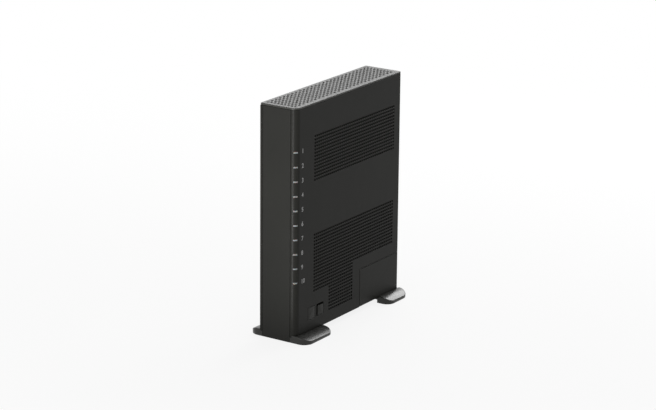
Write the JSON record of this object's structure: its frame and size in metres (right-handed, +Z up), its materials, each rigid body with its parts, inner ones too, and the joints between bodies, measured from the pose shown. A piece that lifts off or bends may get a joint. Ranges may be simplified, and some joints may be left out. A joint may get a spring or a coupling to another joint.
{
  "type": "cable modem",
  "caption": "Slim upright cable modem: charcoal case on two saddle feet, vented side and top, corner indicator windows, push buttons and a slide-off cover over the coaxial bay.",
  "frame": {"origin": "floor level under the middle of the footprint", "axes": "+Z up, front faces -Y, +X towards the side with the indicators, buttons and cable cover"},
  "size_m": [0.0712, 0.1944, 0.243],
  "materials": {
    "case_dark": "satin charcoal moulded plastic with a very fine spark texture",
    "panel_dark": "satin charcoal moulded plastic",
    "pad_rubber": "soft matte rubber",
    "window_milk": "milky clear moulded light pipe",
    "board_green": "green solder mask over glass fibre",
    "part_black": "black moulded electronic parts",
    "steel": "plain plated steel",
    "nickel": "nickel-plated brass",
    "heat_aluminium": "extruded aluminium"
  },
  "bodies": {
    "modem": {"left_shell": "case_dark", "right_shell": "case_dark", "top_grille": "case_dark", "base_plate": "case_dark", "rear_panel": "case_dark", "front_foot": "case_dark", "rear_foot": "case_dark", "cable_bay": "case_dark", "front_panel": "panel_dark", "front_pad_left": "pad_rubber", "front_pad_right": "pad_rubber", "rear_pad_left": "pad_rubber", "rear_pad_right": "pad_rubber", "led_window_1": "window_milk", "led_window_2": "window_milk", "led_window_3": "window_milk", "led_window_4": "window_milk", "led_window_5": "window_milk", "led_window_6": "window_milk", "led_window_7": "window_milk", "led_window_8": "window_milk", "led_window_9": "window_milk", "led_window_10": "window_milk", "front_board": "board_green", "main_board": "board_green", "left_switch": "part_black", "right_switch": "part_black", "reset_switch": "part_black", "processor": "part_black", "memory_chip": "part_black", "capacitor_1": "part_black", "capacitor_2": "part_black", "dc_jack": "part_black", "lan_jack_1": "part_black", "lan_jack_2": "part_black", "lan_jack_3": "part_black", "lan_jack_4": "part_black", "tuner_can": "steel", "board_screw_1": "steel", "board_screw_2": "steel", "board_screw_3": "steel", "board_screw_4": "steel", "foot_screw_1": "steel", "foot_screw_2": "steel", "foot_screw_3": "steel", "foot_screw_4": "steel", "case_screw_1": "steel", "case_screw_2": "steel", "coax_connector": "nickel", "coax_nut": "nickel", "heat_sink": "heat_aluminium"},
    "cover": {"cable_cover": "case_dark"},
    "left_push": {"left_button": "case_dark"},
    "right_push": {"right_button": "case_dark"},
    "reset_push": {"reset_button": "part_black"}
  },
  "joints": [
    {"name": "cover_slide_off", "type": "slide", "parent": "modem", "child": "cover", "axis": [0, 1, 0], "range_m": [0, 0.09]},
    {"name": "left_button_press", "type": "slide", "parent": "modem", "child": "left_push", "axis": [-1, 0, 0], "range_m": [0, 0.0006], "stiffness_N_per_m": 900, "springref_m": -0.0004},
    {"name": "right_button_press", "type": "slide", "parent": "modem", "child": "right_push", "axis": [-1, 0, 0], "range_m": [0, 0.0006], "stiffness_N_per_m": 900, "springref_m": -0.0004},
    {"name": "reset_button_press", "type": "slide", "parent": "modem", "child": "reset_push", "axis": [0, -1, 0], "range_m": [0, 0.0005], "stiffness_N_per_m": 900, "springref_m": -0.0004}
  ]
}
